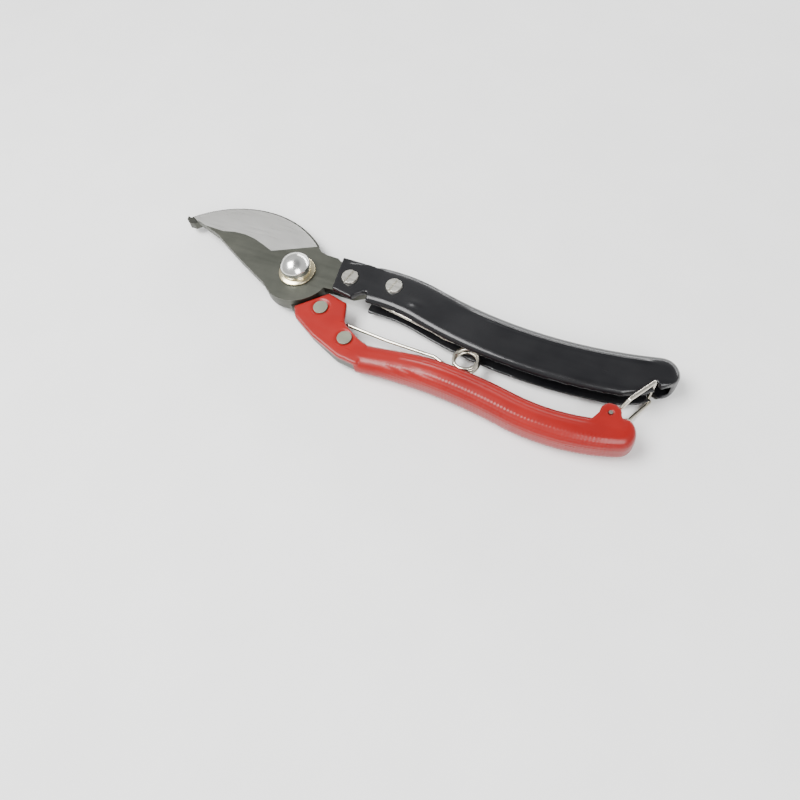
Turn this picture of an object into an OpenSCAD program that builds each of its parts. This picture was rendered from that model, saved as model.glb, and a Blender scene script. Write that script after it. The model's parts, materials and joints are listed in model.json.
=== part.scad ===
// Bypass garden pruner: a curved cutting blade screwed to a black dipped handle and
// a hooked counter-blade riveted to a red dipped handle, on one pivot bolt, with a
// torsion spring between the handles and a wire latch at their ends.
// The origin is on the pivot axis, at the flat underside of the bolt's head.
// +X runs towards the handles' ends, +Y towards the black handle, +Z up to the nut.

/* [Pivot] */
// Radius of the pivot bolt's shank
pivot_r = 4; // [3.5:0.1:4.3]
// Radius of the round boss of both blades about the pivot
boss_r = 14; // [13.4:0.1:14.1]
// Height of the hexagonal head under the counter-blade
bolt_head_h = 2.55; // [2.2:0.05:2.6]
// Thickness of the plain washer under the counter-blade
under_washer_t = 0.6; // [0.5:0.05:0.6]

/* [Blades] */
// Thickness of the cutting blade
blade_t = 3; // [2.6:0.1:3]
// Thickness of the hooked counter-blade
hook_t = 3.2; // [2.8:0.1:3.2]
// Thickness left along the cutting edge
edge_t = 0.35; // [0.25:0.05:0.6]

/* [Handles] */
// Thickness of the pressed steel in both handles
steel_t = 1.6; // [1.4:0.1:1.6]
// Thickness of the dipped coat over the steel
coat_t = 0.8; // [0.6:0.05:0.9]
// Depth of the black handle's channel, from its back to its lips
black_d = 18; // [17:0.2:18.4]
// Depth of the red handle's channel, from its back to its lips
red_d = 10.6; // [10:0.2:11]
// Rounding of the black handle's lips
lip_r = 2.4; // [1.6:0.2:2.6]
// Rounding of the red handle's lips
red_lip_r = 3.6; // [3:0.2:3.8]

/* [Fasteners] */
// Radius of the blade screws' heads
screw_head_r = 3.3; // [3:0.1:3.6]
// Radius of the blade screws' shanks
screw_r = 2; // [1.8:0.1:2.2]
// Radius of the counter-blade rivets' heads
rivet_head_r = 2.8; // [2.5:0.1:3]

/* [Spring and latch] */
// Diameter of the return spring's wire
spring_wire = 1.3; // [1.2:0.05:1.4]
// Radius of the spring's coil, at the middle of the wire
coil_r = 4.4; // [4.2:0.1:4.6]
// Radius of the latch wire
latch_r = 0.7; // [0.6:0.05:0.7]

/* [Hidden] */
$fn = 48;
coat_gap = 0.03;    // between a coat and the steel in it
run_gap = 0.05;     // clearance of everything that turns on the pivot or the latch

// Levels, from the ground up
hook_z = bolt_head_h + under_washer_t + run_gap;
hook_top = hook_z + hook_t;
blade_z = hook_top + 0.1;
blade_top = blade_z + blade_t;
black_top = blade_top + steel_t + coat_t;
black_z = 1.6;
red_head_top = hook_top + steel_t + coat_t;
red_z = 0.7;
red_top = black_top + black_z - red_z;

// Edge of the cutting blade: an arc through its tip, its crown and its heel
edge_tip = [-58.8, 12.4];
edge_crown = [-29.5, 25.3];
edge_heel = [1.9, 14.1];

// Fasteners, in plan
screw_at = [[22.3, 2.8], [39.9, 4.7]];
rivet_at = [[16.3, -11.5], [31.2, -20.7]];
rivet_r = 2;

// Back of the black handle: an arc bowed outwards, then one bowed inwards
black_a = [38, -62.3];
black_a_r = 76;
black_b_r = 164;
black_bend = 14.48;
black_start = 96;
black_b = black_a + (black_a_r + black_b_r) * [sin(black_bend), cos(black_bend)];
black_end = 13.7;
black_nose_r = 6.4;
black_nose = black_b + (black_b_r + black_nose_r) * [sin(black_end), -cos(black_end)];

// Back of the red handle: bowed inwards, then outwards
red_c = [62, -216.6];
red_c_r = 188;
red_e_r = 78;
red_bend = 9.94;
red_e = red_c + (red_c_r + red_e_r) * [sin(red_bend), cos(red_bend)];
red_end = 19.5;
red_start = 97;
red_lip_end = [130.6, -18.15];
red_nose_r = red_d / 2;
red_nose = red_e + (red_e_r - red_nose_r) * [sin(red_end), -cos(red_end)];

// Latch: pivot in the red handle's ears, and where its cross wire stands when shut
latch_at = [127.5, -17.9];
latch_reach = 18.9;
latch_angle = 58.3;
ear_r = 3.6;
ear_t = 1.4;

// Spring: ends in the handles, coil between them
coil_at = [75.6, -12.8];
black_foot = [33.3, -2.1];
red_foot = [27.6, -13.2];
coil_top = 8.6;
coil_bottom = 4.95;
coil_pitch = 1.4;

// Circle through three points, as [centre x, centre y, radius]
function circle3(a, b, c) =
    let (d = 2 * (a.x * (b.y - c.y) + b.x * (c.y - a.y) + c.x * (a.y - b.y)),
         ux = ((a * a) * (b.y - c.y) + (b * b) * (c.y - a.y) + (c * c) * (a.y - b.y)) / d,
         uy = ((a * a) * (c.x - b.x) + (b * b) * (a.x - c.x) + (c * c) * (b.x - a.x)) / d)
    [ux, uy, norm([a.x - ux, a.y - uy])];

edge_arc = circle3(edge_tip, edge_crown, edge_heel);
edge_c = [edge_arc[0], edge_arc[1]];
edge_r = edge_arc[2];

// Mouth of the hook: an arc inside the cutting edge
hook_arc = circle3([-55, 11.5], [-34, 18.2], [-15, 11]);
hook_c = [hook_arc[0], hook_arc[1]];
hook_r = hook_arc[2];

// Points along an arc about c, from angle a0 to a1
function arc(c, r, a0, a1, n = 16) =
    [for (i = [0 : n]) let (a = a0 + (a1 - a0) * i / n) c + r * [cos(a), sin(a)]];

function angle_of(c, p) = atan2(p.y - c.y, p.x - c.x);

// ---- Blades ----

// Plan of the cutting blade with its tang
module blade_plan() {
    polygon(concat(
        arc(edge_c, edge_r, angle_of(edge_c, edge_tip), angle_of(edge_c, edge_heel), 28),
        [[4.4, 12.1], [7.4, 11.4], [12.3, 11.4], [14, 10.4], [44, 10], [46, 8.4], [46, 2.4],
         [44.6, 1.2], [35, 0.8], [30, -0.6], [26, -3.2], [18, -3.1]],
        arc([0, 0], boss_r, -14, -112, 12),
        [[-10.4, -9.3], [-15.3, -7], [-25.2, -2.4], [-35.1, 2.6], [-41, 5.8],
         [-48.9, 8.2], [-54, 9.8]]));
}

// Ground part of the blade, between its edge and the shoulder of the grind
module grind_plan() {
    polygon([[-66, 8], [-54, 9.8], [-48.9, 8.3], [-40, 8.2], [-35.1, 9.4], [-30.1, 9.7],
             [-25.2, 9], [-20.3, 7.5], [-15.3, 5.7], [2.2, 14.3], [8, 22], [-10, 34],
             [-50, 34], [-66, 22]]);
}

// Hollow grind about the centre of the edge's arc: a fine bevel, then a slow rise
module grind() {
    translate([edge_c.x, edge_c.y, 0])
        rotate_extrude()
            polygon([[edge_r + 4, blade_z + edge_t], [edge_r + 0.25, blade_z + edge_t],
                     [edge_r - 3.6, blade_z + 1.3], [edge_r - 9, blade_z + 1.7],
                     [edge_r - 20, blade_z + 2.3], [edge_r - 34, blade_z + 2.7],
                     [edge_r - 34, blade_top + 2], [edge_r + 4, blade_top + 2]]);
}

module cutting_blade() {
    color("dimgray")
    difference() {
        translate([0, 0, blade_z]) linear_extrude(blade_t) blade_plan();
        intersection() {
            grind();
            translate([0, 0, blade_z + edge_t / 2]) linear_extrude(blade_t + 2) grind_plan();
        }
        translate([0, 0, blade_z - 1]) cylinder(r = pivot_r, h = blade_t + 2);
        for (p = screw_at)
            translate([p.x, p.y, blade_z - 1]) cylinder(r = screw_r, h = blade_t + 2);
    }
}

// Plan of the counter-blade: a hook, the boss and a tang under the red handle's head
module hook_plan() {
    union() {
        polygon(concat(
            arc(edge_c, edge_r + 0.9, angle_of(edge_c, edge_tip) + 1.5,
                angle_of(edge_c, edge_heel) + 4, 24),
            [[4, 8], [-8, 0], [-13, 3.5]],
            arc(hook_c, hook_r, angle_of(hook_c, [-15, 11]), angle_of(hook_c, [-55, 11.5]), 18),
            [[-56.8, 9.6], [-59.6, 9.5], [-61.4, 10.8], [-61.9, 12.6]]));
        circle(r = boss_r - 0.5);
        polygon([[-8, -10.6], [3.8, -13.4], [8.2, -17.4], [18.5, -23], [31, -28.2],
                 [38.5, -29], [38.5, -22.5], [33.5, -17.9], [26, -15.6], [23, -11.5],
                 [22.3, -7.5], [13, -5.5]]);
    }
}

module hook_blade() {
    color("dimgray")
    difference() {
        translate([0, 0, hook_z]) linear_extrude(hook_t) hook_plan();
        translate([0, 0, hook_z - 1]) cylinder(r = pivot_r + run_gap, h = hook_t + 2);
        for (p = rivet_at)
            translate([p.x, p.y, hook_z - 1]) cylinder(r = rivet_r, h = hook_t + 2);
    }
}

// ---- Pivot hardware ----

module pivot_bolt() {
    color("silver")
    union() {
        cylinder(r = 7.6, h = bolt_head_h, $fn = 6);
        cylinder(r = pivot_r, h = blade_top + 3.5);
    }
}

module under_washer() {
    color("darkgray")
    translate([0, 0, bolt_head_h])
        difference() {
            cylinder(r = 8.2, h = under_washer_t);
            translate([0, 0, -1]) cylinder(r = pivot_r, h = 3);
        }
}

// Dished washer that keeps the blades pressed together
module spring_washer() {
    color("khaki")
    translate([0, 0, blade_top])
        rotate_extrude()
            polygon([[pivot_r, 0.7], [pivot_r, 1.3], [5.5, 1.25], [7.1, 0.75], [7.3, 0.35],
                     [7, 0], [6.2, 0], [5.9, 0.35]]);
}

// Cap nut: a narrow collar under a bright dome
module dome_nut() {
    base = blade_top + 1.3;
    color("gainsboro")
    difference() {
        translate([0, 0, base])
            rotate_extrude()
                union() {
                    square([5.3, 1.6]);
                    translate([0, 1.2]) square([5.8, 1.9]);
                    intersection() {
                        translate([0, -0.5]) circle(r = 6.828);
                        translate([0, 3.1]) square([5.8, 4]);
                    }
                }
        translate([0, 0, base - 1]) cylinder(r = pivot_r, h = blade_top + 3.5 - base + 1.2);
    }
}

// ---- Handles ----

function unit(v) = v / norm(v);

// Points of a channel's shell in one upright section, as [depth, height]: the outer
// face from the lower lip round the back to the upper lip, then the inner face home.
// The shell lies between the depths o0 and o1 under the handle's surface.
function shell_face(d, z0, z1, corner, lip, o) =
    let (r = min(corner, d * 0.45, (z1 - z0) * 0.46), l = min(lip, d * 0.4),
         rr = max(r - o, 0.05), ll = max(l - o, 0.05))
    concat(
        [for (a = [0, -30, -60, -90]) [d - l, z0 + l] + ll * [cos(a), sin(a)]],
        [for (a = [-90, -112, -135, -158, -180]) [r, z0 + r] + rr * [cos(a), sin(a)]],
        [for (a = [180, 158, 135, 112, 90]) [r, z1 - r] + rr * [cos(a), sin(a)]],
        [for (a = [90, 60, 30, 0]) [d - l, z1 - l] + ll * [cos(a), sin(a)]]);
function shell_loop(d, z0, z1, corner, lip, o0, o1) =
    let (inner = shell_face(d, z0, z1, corner, lip, o1))
    concat(shell_face(d, z0, z1, corner, lip, o0),
           [for (i = [len(inner) - 1 : -1 : 0]) inner[i]]);

// Shell of a channel: one section for each back point, lip point and top height
module channel(backs, lips, z0, tops, corner, lip, o0, o1) {
    n = len(backs);
    m = 36;
    points = [for (i = [0 : n - 1])
        let (u = unit(lips[i] - backs[i]),
             loop = shell_loop(norm(lips[i] - backs[i]), z0, tops[i], corner, lip, o0, o1))
        for (q = loop) [backs[i].x + q.x * u.x, backs[i].y + q.x * u.y, q.y]];
    polyhedron(points, concat(
        [[for (k = [0 : m - 1]) k]],
        [for (i = [0 : n - 2], k = [0 : m - 1])
            let (a = i * m + k, b = i * m + (k + 1) % m)
            each [[a, a + m, b + m], [a, b + m, b]]],
        [[for (k = [m - 1 : -1 : 0]) (n - 1) * m + k]]));
}

// Distance from p along u to where it leaves the circle about c
function reach(p, u, c, r) = let (w = p - c, b = w * u) -b + sqrt(b * b - w * w + r * r);

// Back and lips of the black handle; the lips end on a slanting arc
black_slant = circle3([143.8, 1.9], [136, -5.9], [126.6, -10.8]);
slant_c = [black_slant[0], black_slant[1]];
slant_r = black_slant[2];
black_back = concat(
    arc(black_a, black_a_r, black_start, 90 - black_bend, 7),
    arc(black_b, black_b_r, 271 - black_bend, 270 + black_end, 14));
black_lips = concat(
    arc(black_a, black_a_r - black_d, black_start, 90 - black_bend, 7),
    [for (w = arc(black_b, black_b_r, 271 - black_bend, 270 + black_end, 14))
        let (u = unit(w - black_b))
        w + u * (w.x < 115 ? black_d : min(black_d, reach(w, u, slant_c, slant_r)))]);
black_nose_back = arc(black_nose, black_nose_r, 78 + black_end, -32, 9);
black_nose_lips = arc(slant_c, slant_r, angle_of(slant_c, [140.2, -2.2]),
                      angle_of(slant_c, [141, -1.4]), 9);

module black_channel(o0, o1) {
    channel(concat(black_back, black_nose_back), concat(black_lips, black_nose_lips),
            black_z, [for (p = concat(black_back, black_nose_back)) black_top],
            4.6, lip_r, o0, o1);
}

// Flat head of the black handle, over the blade's tang
module black_head_plan(inset) {
    i = inset;
    polygon([[15.3 + i, 11 - i], [17.8 + i, -3.8 + i], [26.4, -5.2 + i], [27.6 - i, -3.2],
             [29.4 - i / 2, -1.6 + i], [33, -0.5 + i], [33, 10.9 - i]]);
}

// Slot that the latch's cross wire swings out of
module latch_slot() {
    translate([latch_at.x, latch_at.y, -1]) rotate(latch_angle + 3 - 30)
        rotate_extrude(angle = 30, $fn = 96)
            translate([latch_reach - latch_r - 0.35, 0]) square([2 * latch_r + 0.7, 20]);
}

module black_handle_frame() {
    color("slategray")
    difference() {
        union() {
            black_channel(coat_t, coat_t + steel_t);
            translate([0, 0, blade_top]) linear_extrude(steel_t - 0.02)
                black_head_plan(coat_t);
        }
        for (p = screw_at)
            translate([p.x, p.y, blade_top - 1]) cylinder(r = screw_r, h = steel_t + 2);
        latch_slot();
    }
}

module black_grip() {
    color([0.06, 0.06, 0.06])
    difference() {
        union() {
            black_channel(0, coat_t - coat_gap);
            difference() {
                translate([0, 0, blade_top]) linear_extrude(steel_t + coat_t - 0.05)
                    black_head_plan(0);
                translate([0, 0, blade_top - 1]) linear_extrude(steel_t + 1)
                    black_head_plan(coat_t - coat_gap);
            }
        }
        for (p = screw_at)
            translate([p.x, p.y, blade_top]) cylinder(r = screw_r + 0.1, h = 5);
        latch_slot();
    }
}

// Back and lips of the red handle, from its nose to its head
red_back = concat(
    arc(red_nose, red_nose_r, 58, red_end - 75, 8),
    arc(red_e, red_e_r, 270 + red_end, 271.5 - red_bend, 12),
    arc(red_c, red_c_r, 90 - red_bend, red_start, 14));
red_lips = concat(
    [for (i = [8 : -1 : 0]) red_lip_end + [0.1 * i, 0.01 * i]],
    arc(red_e, red_e_r - red_d, 270 + red_end, 271.5 - red_bend, 12),
    arc(red_c, red_c_r + red_d, 90 - red_bend, red_start, 14));

// The channel's top rises from the head over its first sections
red_rise = [0, 0.03, 0.12, 0.28, 0.48, 0.68, 0.85, 0.95, 1];
red_tops = [for (i = [len(red_back) - 1 : -1 : 0])
    red_head_top + (red_top - red_head_top) * red_rise[min(i, len(red_rise) - 1)]];

module red_channel(o0, o1) {
    channel(red_back, red_lips, red_z, red_tops, 4.2, red_lip_r, o0, o1);
}

// Flat head of the red handle, over the counter-blade's tang
module red_head_plan(inset) {
    i = inset;
    polygon([[6.4 + i * 1.2, -14.5], [16.4, -4.5 - i * 1.4], [24.8 - i, -6.3 - i],
             [27.4 - i, -13.2], [28.8 - i, -15 - i / 2], [32.2, -17 - i], [36.4, -19.2 - i],
             [40.4, -20.4 - i], [40.4, -29.4 + i], [31.8, -28.6 + i],
             [18.9, -23.9 + i], [9 + i / 2, -18.6 + i]]);
}

// Ears at the red handle's end, which the latch hinges in
module ear_plan(inset) {
    union() {
        translate(latch_at) circle(r = ear_r - inset);
        polygon([[122 + inset, -23], [124 + inset, -18.6], [130.6 - inset, -17.4],
                 [133 - inset, -20], [133 - inset, -23]]);
    }
}

module ear_holes(r, sides) {
    translate([latch_at.x, latch_at.y, -1]) cylinder(r = r, h = 20, $fn = sides);
}

module red_handle_frame() {
    color("slategray")
    difference() {
        union() {
            red_channel(coat_t, coat_t + steel_t);
            translate([0, 0, hook_top]) linear_extrude(steel_t - 0.02) red_head_plan(coat_t);
            translate([0, 0, red_top - coat_t - ear_t]) linear_extrude(ear_t - 0.1)
                ear_plan(coat_t);
            translate([0, 0, red_z + coat_t + 0.1]) linear_extrude(ear_t - 0.1)
                ear_plan(coat_t);
        }
        for (p = rivet_at)
            translate([p.x, p.y, hook_top - 1]) cylinder(r = rivet_r, h = steel_t + 2);
        ear_holes(latch_r + run_gap, 48);
    }
}

module red_grip() {
    color([0.75, 0.15, 0.12])
    resize([0, 0, 0]) difference() {
        union() {
            red_channel(0, coat_t - coat_gap);
            difference() {
                translate([0, 0, hook_top]) linear_extrude(steel_t + coat_t - 0.05)
                    red_head_plan(0);
                translate([0, 0, hook_top - 1]) linear_extrude(steel_t + 1)
                    red_head_plan(coat_t - coat_gap);
            }
            translate([0, 0, red_top - coat_t + 0.05]) linear_extrude(coat_t - 0.1)
                ear_plan(0);
            translate([0, 0, red_z + 0.05]) linear_extrude(coat_t - 0.1) ear_plan(0);
        }
        for (p = rivet_at)
            translate([p.x, p.y, hook_top - 0.5]) cylinder(r = rivet_head_r + 0.1, h = 5);
        ear_holes(latch_r + run_gap + 0.1, 12);
    }
}

// ---- Fasteners ----

module blade_screw() {
    difference() {
        union() {
            translate([0, 0, black_top]) cylinder(r1 = screw_head_r, r2 = screw_head_r - 0.3, h = 1);
            translate([0, 0, blade_z - 2.3]) cylinder(r = screw_r, h = black_top - blade_z + 2.5);
        }
        translate([-0.45, -5, black_top + 0.4]) cube([0.9, 10, 2]);
    }
}

module blade_screws() {
    color("lightgray")
    for (p = screw_at) translate([p.x, p.y, 0]) rotate(-12) blade_screw();
}

module blade_nuts() {
    color("lightgray")
    for (p = screw_at)
        translate([p.x, p.y, blade_z - 2.1])
            difference() {
                cylinder(r = 3.8, h = 2.1, $fn = 6);
                translate([0, 0, -1]) cylinder(r = screw_r, h = 5);
            }
}

module hook_rivets() {
    color("darkgray")
    for (p = rivet_at)
        translate([p.x, p.y, 0])
            union() {
                translate([0, 0, hook_z - 0.8]) cylinder(r1 = 2.6, r2 = 3.1, h = 0.8);
                translate([0, 0, hook_z - 0.4]) cylinder(r = rivet_r, h = red_head_top - hook_z);
                translate([0, 0, red_head_top - coat_t])
                    cylinder(r = rivet_head_r, h = coat_t + 0.1);
            }
}

// ---- Return spring ----

// Tube through a list of points, in one polyhedron; its rings don't twist
function tube_dir(p, i) = unit(p[min(i + 1, len(p) - 1)] - p[max(i - 1, 0)]);
function flat_to(v, d) = unit(v - (v * d) * d);
function tube_sides(p, i, last) =
    i == len(p) ? [] :
    let (s = flat_to(last, tube_dir(p, i))) concat([s], tube_sides(p, i + 1, s));
module tube(p, r, sides = 10) {
    n = len(p);
    side = tube_sides(p, 0, [0.3, 0.8, 0.5]);
    rings = [for (i = [0 : n - 1], k = [0 : sides - 1])
        let (up = cross(tube_dir(p, i), side[i]))
            p[i] + r * (cos(360 * k / sides) * side[i] + sin(360 * k / sides) * up)];
    polyhedron(rings, concat(
        [[for (k = [0 : sides - 1]) k]],
        [for (i = [0 : n - 2], k = [0 : sides - 1])
            let (a = i * sides + k, b = i * sides + (k + 1) % sides)
            [a, a + sides, b + sides, b]],
        [[for (k = [sides - 1 : -1 : 0]) (n - 1) * sides + k]]));
}

// Turns of the coil, clockwise from angle a0, falling from z0 to z1
function turns(a0, sweep, z0, z1, n) =
    [for (i = [0 : n]) let (a = a0 - sweep * i / n)
        [coil_at.x + coil_r * cos(a), coil_at.y + coil_r * sin(a), z0 + (z1 - z0) * i / n]];

module spring_black_half() {
    color("lightgray")
    tube(concat(
        [[black_foot.x, black_foot.y, coil_top], [42, -3.5, coil_top], [51.2, -5, coil_top],
         [60.5, -6.6, coil_top], [65.6, -7.9, coil_top]],
        turns(90, 540, coil_top, coil_top - 1.5 * coil_pitch, 36)), spring_wire / 2);
}

module spring_red_half() {
    color("lightgray")
    tube(concat(
        turns(-126, 324, coil_bottom + 0.25, coil_bottom, 24),
        [[69, -16.2, coil_bottom], [64, -14.4, coil_bottom], [60, -14.4, coil_bottom],
         [45, -14.3, coil_bottom], [red_foot.x, red_foot.y, coil_bottom]]), spring_wire / 2);
}

// ---- Latch ----

// Points that round a corner of a wire's route
function corner(p, i, r) =
    let (a = unit(p[i - 1] - p[i]), b = unit(p[i + 1] - p[i]),
         cut = r / tan(acos(max(-1, min(1, a * b))) / 2))
    [for (t = [0 : 0.25 : 1])
        (1 - t) * (1 - t) * (p[i] + cut * a) + 2 * t * (1 - t) * p[i] + t * t * (p[i] + cut * b)];
function rounded(p, r) =
    concat([p[0]], [for (i = [1 : len(p) - 2]) each corner(p, i, r)], [p[len(p) - 1]]);

module latch_wire() {
    dir = [cos(latch_angle), sin(latch_angle)];
    high = black_top + latch_r + 0.15;
    low = black_z - latch_r - 0.15;
    ear_high = red_top - coat_t - ear_t - latch_r - 0.1;
    ear_low = red_z + coat_t + ear_t + latch_r + 0.1;
    at = latch_at;
    far = at + latch_reach * dir;
    color("silver")
    tube(rounded([[at.x, at.y, red_top + 0.15], [at.x, at.y, ear_high],
                  [at.x + 4.4 * dir.x, at.y + 4.4 * dir.y, ear_high],
                  [at.x + 8 * dir.x, at.y + 8 * dir.y, high],
                  [far.x, far.y, high], [far.x, far.y, low],
                  [138.4, -2.4, low], [133.8, -11.8, low], [131.2, -14.6, ear_low],
                  [at.x, at.y, ear_low], [at.x, at.y, red_z - 0.1]], 0.6), latch_r, 12);
}

cutting_blade();
hook_blade();
pivot_bolt();
under_washer();
spring_washer();
dome_nut();
black_handle_frame();
black_grip();
red_handle_frame();
red_grip();
blade_screws();
blade_nuts();
hook_rivets();
spring_black_half();
spring_red_half();
latch_wire();
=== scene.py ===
# A bypass garden pruner, put together as its maker would: blades, pivot, handles,
# fasteners, spring and latch, each with its own finish, then the studio round it.
import json
import math

import bpy
from mathutils import Matrix, Vector

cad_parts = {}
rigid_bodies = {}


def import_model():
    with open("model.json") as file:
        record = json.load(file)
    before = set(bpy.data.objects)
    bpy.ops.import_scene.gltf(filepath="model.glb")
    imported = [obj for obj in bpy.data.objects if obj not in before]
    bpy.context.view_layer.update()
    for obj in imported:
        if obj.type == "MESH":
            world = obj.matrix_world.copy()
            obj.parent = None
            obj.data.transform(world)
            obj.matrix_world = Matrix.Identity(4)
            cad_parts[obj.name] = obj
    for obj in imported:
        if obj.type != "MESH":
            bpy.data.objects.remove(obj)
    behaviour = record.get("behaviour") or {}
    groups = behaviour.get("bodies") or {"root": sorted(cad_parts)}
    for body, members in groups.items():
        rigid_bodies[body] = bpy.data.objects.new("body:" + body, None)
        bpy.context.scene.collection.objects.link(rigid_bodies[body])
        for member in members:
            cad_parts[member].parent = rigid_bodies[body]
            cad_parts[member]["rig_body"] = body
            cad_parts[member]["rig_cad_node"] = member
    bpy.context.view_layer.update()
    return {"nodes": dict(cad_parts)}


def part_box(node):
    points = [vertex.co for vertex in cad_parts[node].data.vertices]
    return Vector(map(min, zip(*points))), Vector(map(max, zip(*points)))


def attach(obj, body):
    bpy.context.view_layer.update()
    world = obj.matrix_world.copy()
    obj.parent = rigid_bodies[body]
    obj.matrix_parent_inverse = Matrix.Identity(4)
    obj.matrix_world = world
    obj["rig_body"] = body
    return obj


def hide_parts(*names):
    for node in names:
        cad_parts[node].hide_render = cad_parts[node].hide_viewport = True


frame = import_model()
mm = 0.001

# --- Camera -------------------------------------------------------------------
# The pruner is seen from its hook's side and from above, lying on its bolt head,
# with its handles running away to the lower right.
bpy.ops.object.select_all(action="DESELECT")
camera_right = Vector((0.90308, 0.41720, -0.10188))
camera_up = Vector((-0.32162, 0.81421, 0.48334))
camera_back = Vector((0.28461, -0.40373, 0.86948))
camera_place = Vector((0.12588, -0.12862, 0.2064))
bpy.ops.object.camera_add(location=(0, 0, 0))
camera = bpy.context.active_object
camera.name = "studio_camera"
camera.data.sensor_width = 36.0
camera.data.lens = 29.94
camera.data.clip_start = 0.01
camera.matrix_world = Matrix((
    (camera_right.x, camera_up.x, camera_back.x, camera_place.x),
    (camera_right.y, camera_up.y, camera_back.y, camera_place.y),
    (camera_right.z, camera_up.z, camera_back.z, camera_place.z),
    (0, 0, 0, 1)))
bpy.context.scene.camera = camera

# --- Cutting blade ------------------------------------------------------------
# One plate of hardened steel, 3 mm thick, darkened by its heat treatment.
# The crescent along the edge is hollow ground bright, with a fine bevel at the edge.
blade_soft_edge = 0.12 * mm
weld_distance = 0.004 * mm


def finished_copy(node, name):
    """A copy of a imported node, welded to one mesh, that stands for the node."""
    bpy.ops.object.select_all(action="DESELECT")
    source = frame["nodes"][node]
    piece = source.copy()
    piece.data = source.data.copy()
    piece.name = name
    piece.data.name = name
    piece.parent = None
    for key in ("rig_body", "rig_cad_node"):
        if key in piece:
            del piece[key]
    bpy.context.scene.collection.objects.link(piece)
    piece.select_set(True)
    bpy.context.view_layer.objects.active = piece
    piece.data.materials.clear()
    bpy.ops.object.mode_set(mode="EDIT")
    bpy.ops.mesh.select_all(action="SELECT")
    bpy.ops.mesh.remove_doubles(threshold=weld_distance)
    bpy.ops.mesh.select_all(action="DESELECT")
    bpy.ops.object.mode_set(mode="OBJECT")
    if piece.data.has_custom_normals:
        bpy.ops.mesh.customdata_custom_splitnormals_clear()
    return piece


def flat_faces_joined(piece, angle=1.0):
    """Joins the triangles of each flat face, so that its border can be rounded."""
    bpy.ops.object.mode_set(mode="EDIT")
    bpy.ops.mesh.select_all(action="SELECT")
    bpy.ops.mesh.dissolve_limited(angle_limit=math.radians(angle))
    bpy.ops.mesh.select_all(action="DESELECT")
    bpy.ops.object.mode_set(mode="OBJECT")


def edges_rounded(piece, width, segments=2, angle=35.0):
    """Rounds a piece's sharp edges, as tumbling or polishing does."""
    rounding = piece.modifiers.new("rounded_edges", "BEVEL")
    rounding.width = width
    rounding.segments = segments
    rounding.limit_method = "ANGLE"
    rounding.angle_limit = math.radians(angle)
    rounding.use_clamp_overlap = True
    rounding.harden_normals = False
    bpy.ops.object.modifier_apply(modifier=rounding.name)


def shaded(piece, angle=35.0):
    """Smooth shading that leaves the flat faces flat."""
    bpy.ops.object.shade_smooth_by_angle(angle=math.radians(angle))
    flats = piece.modifiers.new("flat_faces", "WEIGHTED_NORMAL")
    flats.weight = 90
    flats.keep_sharp = True
    bpy.ops.object.modifier_apply(modifier=flats.name)


def surface(name):
    """A new material's node tree, its shader and its object coordinates."""
    finish = bpy.data.materials.new(name)
    finish.use_nodes = True
    tree = finish.node_tree
    shader = tree.nodes["Principled BSDF"]
    coordinates = tree.nodes.new("ShaderNodeTexCoord")
    return finish, tree, shader, coordinates.outputs["Object"]


def stretched(tree, coordinates, scale, turn=0.0):
    """Coordinates drawn out along one direction, for a grain that follows it."""
    mapping = tree.nodes.new("ShaderNodeMapping")
    mapping.inputs["Scale"].default_value = scale
    mapping.inputs["Rotation"].default_value = (0, 0, turn)
    tree.links.new(coordinates, mapping.inputs["Vector"])
    return mapping.outputs["Vector"]


def noise(tree, vector, scale, detail=4.0):
    """A cloudy value over a piece."""
    grain = tree.nodes.new("ShaderNodeTexNoise")
    grain.inputs["Scale"].default_value = scale
    grain.inputs["Detail"].default_value = detail
    grain.inputs["Roughness"].default_value = 0.55
    tree.links.new(vector, grain.inputs["Vector"])
    return grain.outputs["Fac"]


def ramp(tree, value, stops):
    """Colour ramp over a value: stops are (place, colour)."""
    band = tree.nodes.new("ShaderNodeValToRGB")
    elements = band.color_ramp.elements
    elements[0].position, elements[0].color = stops[0][0], (*stops[0][1], 1)
    elements[1].position, elements[1].color = stops[-1][0], (*stops[-1][1], 1)
    for place, colour in stops[1:-1]:
        extra = elements.new(place)
        extra.color = (*colour, 1)
    tree.links.new(value, band.inputs["Fac"])
    return band.outputs["Color"]


def spread(tree, value, low, high):
    """A value's middle range, spread from low to high."""
    change = tree.nodes.new("ShaderNodeMapRange")
    change.inputs["From Min"].default_value = 0.3
    change.inputs["From Max"].default_value = 0.7
    change.inputs["To Min"].default_value = low
    change.inputs["To Max"].default_value = high
    tree.links.new(value, change.inputs["Value"])
    return change.outputs["Result"]


def raised(tree, shader, height, distance, strength=0.5):
    """Fine relief on a surface, from a value, as deep as distance."""
    bump = tree.nodes.new("ShaderNodeBump")
    bump.inputs["Strength"].default_value = strength
    bump.inputs["Distance"].default_value = distance
    tree.links.new(height, bump.inputs["Height"])
    tree.links.new(bump.outputs["Normal"], shader.inputs["Normal"])


def steel(name, dark, light, rough, grain_turn=0.0, grain=900.0, grain_depth=0.004):
    """Steel with drawn grain and cloudy tone."""
    finish, tree, shader, place = surface(name)
    cloud = noise(tree, place, 60.0, 5.0)
    tree.links.new(ramp(tree, cloud, [(0.3, dark), (0.7, light)]), shader.inputs["Base Color"])
    drawn = noise(tree, stretched(tree, place, (0.06, 1.0, 1.0), grain_turn), grain, 3.0)
    tree.links.new(spread(tree, drawn, rough[0], rough[1]), shader.inputs["Roughness"])
    raised(tree, shader, drawn, grain_depth * mm)
    shader.inputs["Metallic"].default_value = 1.0
    return finish


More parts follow.
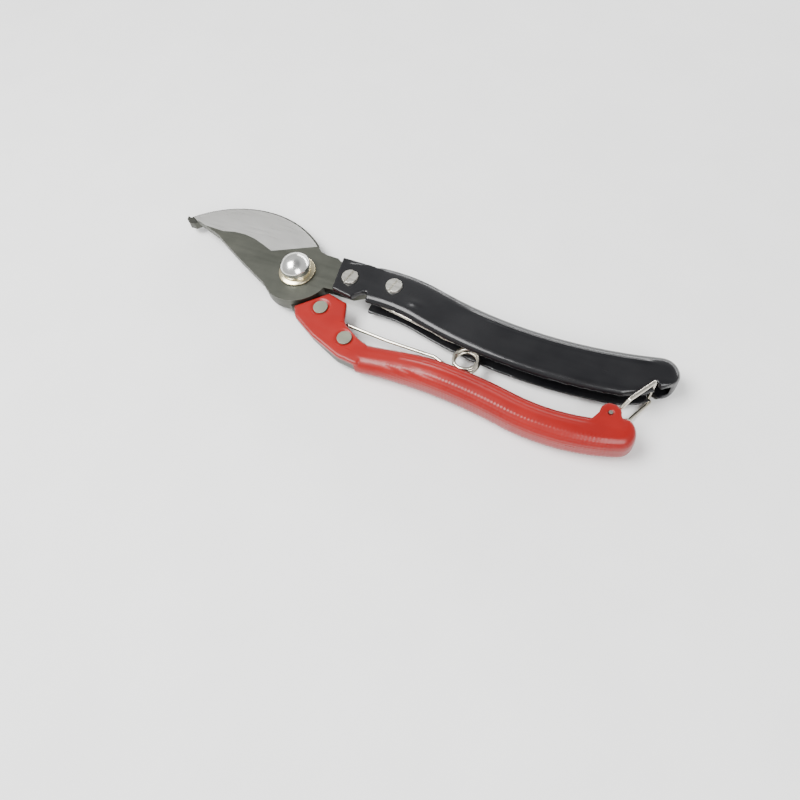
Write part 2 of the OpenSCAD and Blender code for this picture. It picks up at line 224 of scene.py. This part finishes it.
plate_steel = steel("plate_steel", (0.075, 0.078, 0.066), (0.105, 0.107, 0.09),
                    (0.42, 0.54), grain_turn=0.5, grain_depth=0.002)
ground_steel = steel("ground_steel", (0.84, 0.83, 0.79), (0.95, 0.94, 0.90),
                     (0.26, 0.36), grain_turn=-1.2, grain=1400.0, grain_depth=0.002)

blade = finished_copy("cutting_blade", "blade_of_pruner")
flat_faces_joined(blade, 0.6)
edges_rounded(blade, blade_soft_edge, 2, 40.0)
shaded(blade, 28.0)
blade.data.materials.append(plate_steel)
blade.data.materials.append(ground_steel)
blade_low, blade_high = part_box("cutting_blade")
for face in blade.data.polygons:
    below_top = face.center.z < blade_high[2] - 0.06 * mm
    if face.normal.z > 0.5 and below_top and face.center.z > blade_low[2] + 0.1 * mm:
        face.material_index = 1
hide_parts("cutting_blade")
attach(blade, "black_side")

# --- Counter-blade ------------------------------------------------------------
# The hooked lower blade that holds the stem: a thicker plate with a square mouth,
# left dark from the forge and only brushed.
hook_steel = steel("hook_steel", (0.06, 0.062, 0.054), (0.10, 0.10, 0.088),
                   (0.36, 0.5), grain_turn=0.9)
hook = finished_copy("hook_blade", "hook_of_pruner")
flat_faces_joined(hook, 0.6)
edges_rounded(hook, 0.22 * mm, 3, 40.0)
shaded(hook, 30.0)
hook.data.materials.append(hook_steel)
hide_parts("hook_blade")
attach(hook, "red_side")

# --- Pivot bolt, washers and domed nut ----------------------------------------
# A hexagonal bolt from below, a plain washer, a dished brass-coloured washer that
# keeps the blades tight, and a chromed cap nut pressed to a dome.
zinc = steel("zinc_plate", (0.50, 0.49, 0.44), (0.68, 0.66, 0.60), (0.26, 0.42), grain=700.0)
chrome, tree, shader, place = surface("chrome_dome")
tree.links.new(ramp(tree, noise(tree, place, 90.0), [(0.3, (0.80, 0.80, 0.76)),
                                                     (0.7, (0.90, 0.89, 0.86))]),
               shader.inputs["Base Color"])
tree.links.new(spread(tree, noise(tree, place, 500.0, 6.0), 0.15, 0.26),
               shader.inputs["Roughness"])
shader.inputs["Metallic"].default_value = 1.0
brass, tree, shader, place = surface("pale_brass")
tree.links.new(ramp(tree, noise(tree, place, 140.0), [(0.3, (0.60, 0.52, 0.33)),
                                                      (0.7, (0.74, 0.67, 0.46))]),
               shader.inputs["Base Color"])
tree.links.new(spread(tree, noise(tree, place, 700.0), 0.16, 0.3), shader.inputs["Roughness"])
shader.inputs["Metallic"].default_value = 1.0
for node, name, finish, slot, rounding in (
        ("pivot_bolt", "bolt_of_pivot", zinc, "zinc", 0.3),
        ("under_washer", "washer_under_hook", zinc, "zinc", 0.08),
        ("spring_washer", "dished_washer", brass, "brass", 0.06),
        ("dome_nut", "domed_cap_nut", chrome, "chrome_cap", 0.15)):
    piece = finished_copy(node, name)
    edges_rounded(piece, rounding * mm, 2, 40.0)
    shaded(piece, 40.0)
    piece.data.materials.append(finish)
    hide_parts(node)
    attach(piece, "black_side")

# --- Black handle -------------------------------------------------------------
# A channel pressed from 1.6 mm steel and dipped whole in soft black vinyl, which
# rounds its edges and leaves a bead along its back and a swelling behind its head.
dip_voxel = 0.42 * mm
black_a, black_a_r = Vector((38, -62.3)) * mm, 76 * mm       # arc behind the head
black_b, black_b_r = Vector((98.008, 170.077)) * mm, 164 * mm   # arc of the long back
black_arcs_meet = 75.52     # degrees about black_a


def dipped(name, *nodes):
    """One dipped piece made from the copies of a handle's pressed frame and coat."""
    copies = [finished_copy(node, name + "_" + node) for node in nodes]
    bpy.ops.object.select_all(action="DESELECT")
    for part in copies:
        part.select_set(True)
    bpy.context.view_layer.objects.active = copies[0]
    bpy.ops.object.join()
    piece = bpy.context.active_object
    piece.name = name
    piece.data.name = name
    skin = piece.modifiers.new("dipped_skin", "REMESH")
    skin.mode = "VOXEL"
    skin.voxel_size = dip_voxel
    bpy.ops.object.modifier_apply(modifier=skin.name)
    flow = piece.modifiers.new("flow_of_the_dip", "SMOOTH")
    flow.factor = 0.5
    flow.iterations = 5
    bpy.ops.object.modifier_apply(modifier=flow.name)
    bpy.ops.object.shade_smooth()
    return piece


def bump_up(distance, width):
    """1 on a line, falling off to each side of it over a width."""
    return math.exp(-(distance / width) ** 2)


def fade(value, start, end):
    """0 before start, 1 after end, smooth between."""
    step = max(0.0, min(1.0, (value - start) / (end - start)))
    return step * step * (3 - 2 * step)


def vinyl(name, dark, light, rough, gloss):
    """Dipped vinyl: even colour, a faint orange peel and a few rubbed streaks."""
    finish, tree, shader, place = surface(name)
    cloud = noise(tree, place, 45.0, 3.0)
    tree.links.new(ramp(tree, cloud, [(0.3, dark), (0.7, light)]), shader.inputs["Base Color"])
    rubbed = noise(tree, stretched(tree, place, (0.12, 1, 1)), 260.0, 6.0)
    tree.links.new(spread(tree, rubbed, rough[0], rough[1]), shader.inputs["Roughness"])
    peel = noise(tree, place, 420.0, 2.0)
    raised(tree, shader, peel, 0.05 * mm)
    shader.inputs["Specular IOR Level"].default_value = gloss
    return finish


black_vinyl = vinyl("black_vinyl", (0.006, 0.006, 0.007), (0.012, 0.012, 0.013),
                    (0.18, 0.28), 0.36)
black_handle = dipped("black_dipped_handle", "black_handle_frame", "black_grip")
black_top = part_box("black_grip")[1][2]
for point in black_handle.data.vertices:
    x = point.co.x / mm
    plan = Vector((point.co.x, point.co.y))
    lean = math.degrees(math.atan2(plan.y - black_a.y, plan.x - black_a.x))
    depth = (black_a_r - (plan - black_a).length if lean > black_arcs_meet
             else (plan - black_b).length - black_b_r) / mm
    if point.normal.z < 0.5 or point.co.z < black_top - 1.6 * mm:
        continue
    head_bead = 0.28 * bump_up(depth - 1.7, 0.5) * fade(x, 17, 20) * (1 - fade(x, 52, 68))
    back_bead = 0.30 * bump_up(depth - 4.3, 0.6) * fade(x, 58, 84) * (1 - fade(x, 130, 138))
    swelling = 0.45 * math.exp(-((x - 50) / 3.2) ** 2 - ((point.co.y / mm - 0.2) / 1.6) ** 2)
    point.co.z += (head_bead + back_bead + swelling) * mm
black_handle.data.materials.append(black_vinyl)
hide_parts("black_handle_frame", "black_grip")
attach(black_handle, "black_side")

# --- Red handle ---------------------------------------------------------------
# The same kind of pressed channel dipped in red vinyl, narrower, with two creases
# along its back, small anti-slip pips on its outer side, and ears for the latch.
red_c, red_c_r = Vector((62, -216.6)) * mm, 188 * mm         # arc behind the head
red_e, red_e_r = Vector((107.916, 45.405)) * mm, 78 * mm      # arc round the palm
red_arcs_meet = 80.06       # degrees about red_c
pip_pitch = 2.6             # radians of the pips' wave in each millimetre
red_vinyl = vinyl("red_vinyl", (0.20, 0.004, 0.003), (0.27, 0.008, 0.006), (0.26, 0.38), 0.36)
red_handle = dipped("red_dipped_handle", "red_handle_frame", "red_grip")
red_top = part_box("red_grip")[1][2]
rivet_places = (Vector((16.3, -11.5)), Vector((31.2, -20.7)))
for point in red_handle.data.vertices:
    x, z = point.co.x / mm, point.co.z / mm
    plan = Vector((point.co.x, point.co.y))
    lean = math.degrees(math.atan2(plan.y - red_c.y, plan.x - red_c.x))
    depth = ((plan - red_c).length - red_c_r if lean > red_arcs_meet
             else red_e_r - (plan - red_e).length) / mm
    if point.normal.z > 0.5 and point.co.z > red_top - 2.2 * mm:
        along = fade(x, 44, 60) * (1 - fade(x, 118, 126))
        creases = 0.22 * bump_up(depth - 6.6, 0.5) + 0.20 * bump_up(depth - 8.4, 0.4)
        point.co.z += creases * along * mm
    if point.normal.z > 0.5 and 6.0 < z < 9.5:
        for rivet_place in rivet_places:
            ring = (plan / mm - rivet_place).length
            point.co.z -= 0.4 * bump_up(ring - 3.15, 0.35) * mm
    side = 1 - fade(depth, 2.6, 4.0)
    if side > 0 and 46 < x < 134:
        wave = math.sin(x * pip_pitch) * math.sin(z * pip_pitch + 0.4)
        pips = max(0.0, wave - 0.15) + max(0.0, -wave - 0.15)
        lift = 0.16 * pips * side * fade(x, 46, 52) * (1 - fade(x, 128, 134))
        point.co += point.normal * lift * mm
red_handle.data.materials.append(red_vinyl)
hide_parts("red_handle_frame", "red_grip")
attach(red_handle, "red_side")

# --- Screws, nuts and rivets --------------------------------------------------
# Two slotted nickel screws with nuts hold the blade to the black handle; two
# rivets, hammered flush, hold the hook to the red one.
rivet_steel = steel("rivet_steel", (0.16, 0.17, 0.13), (0.27, 0.28, 0.22), (0.4, 0.6),
                    grain=500.0, grain_depth=0.03)
screw_nickel = steel("screw_nickel", (0.70, 0.68, 0.61), (0.90, 0.88, 0.80), (0.22, 0.36),
                     grain_turn=0.7, grain=800.0)
for node, name, finish, body, slot, rounding in (
        ("blade_screws", "slotted_blade_screws", screw_nickel, "black_side", "zinc", 0.18),
        ("blade_nuts", "blade_screw_nuts", screw_nickel, "black_side", "zinc", 0.12),
        ("hook_rivets", "flush_hook_rivets", rivet_steel, "red_side", "hook_steel", 0.15)):
    piece = finished_copy(node, name)
    flat_faces_joined(piece, 0.6)
    edges_rounded(piece, rounding * mm, 2, 40.0)
    shaded(piece, 35.0)
    piece.data.materials.append(finish)
    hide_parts(node)
    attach(piece, body)

# --- Return spring and latch --------------------------------------------------
# Bright drawn wire: the spring is coiled between the handles with a leg in each,
# and the latch is a bent loop that hinges in the red handle's ears.
wire = steel("drawn_wire", (0.56, 0.52, 0.43), (0.76, 0.72, 0.62), (0.16, 0.28), grain=600.0)
for node, name, body in (
        ("spring_black_half", "spring_leg_and_coil_black", "spring_black"),
        ("spring_red_half", "spring_leg_and_coil_red", "spring_red"),
        ("latch_wire", "latch_loop", "latch")):
    piece = finished_copy(node, name)
    shaded(piece, 60.0)
    piece.data.materials.append(wire)
    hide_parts(node)
    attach(piece, body)

# --- Studio -------------------------------------------------------------------
# A pale table under a large soft light overhead, a weaker one near the camera and a long thin
# strip low on the far side, in a white room whose darker ceiling keeps the flat glossy faces
# deep.
bpy.ops.object.select_all(action="DESELECT")
bpy.ops.mesh.primitive_plane_add(size=6.0, location=(0, 0, 0))
table = bpy.context.active_object
table.name = "pale_table"
paper, tree, shader, place = surface("pale_paper")
tree.links.new(ramp(tree, noise(tree, place, 30.0), [(0.3, (0.86, 0.86, 0.85)),
                                                     (0.7, (0.90, 0.90, 0.89))]),
               shader.inputs["Base Color"])
shader.inputs["Roughness"].default_value = 0.7
table.data.materials.append(paper)

for name, place_m, aim_m, size_m, power in (
        ("overhead_softbox", (-0.30, -0.16, 0.70), (0.05, 0, 0), (0.50, 0.40), 13.0),
        ("near_softbox", (0.45, -0.40, 0.45), (0.05, 0, 0), (0.35, 0.35), 4.0),
        ("rim_strip", (0.16, 0.60, 0.16), (0.08, 0, 0), (0.90, 0.07), 3.0)):
    lamp_data = bpy.data.lights.new(name, "AREA")
    lamp_data.shape = "RECTANGLE"
    lamp_data.size, lamp_data.size_y = size_m
    lamp_data.energy = power
    lamp = bpy.data.objects.new(name, lamp_data)
    bpy.context.scene.collection.objects.link(lamp)
    lamp.location = place_m
    aim = Vector(aim_m) - Vector(place_m)
    lamp.rotation_euler = aim.to_track_quat("-Z", "Y").to_euler()

room = bpy.data.worlds.new("white_room")
bpy.context.scene.world = room
room.use_nodes = True
sky = room.node_tree.nodes["Background"]
height = room.node_tree.nodes.new("ShaderNodeSeparateXYZ")
whereabouts = room.node_tree.nodes.new("ShaderNodeTexCoord")
room.node_tree.links.new(whereabouts.outputs["Generated"], height.inputs["Vector"])
room.node_tree.links.new(
    ramp(room.node_tree, height.outputs["Z"],
         [(0.0, (0.80, 0.80, 0.80)), (0.74, (0.84, 0.85, 0.86)),
          (0.90, (0.36, 0.37, 0.38)), (1.0, (0.34, 0.34, 0.35))]),
    sky.inputs["Color"])
sky.inputs["Strength"].default_value = 0.85
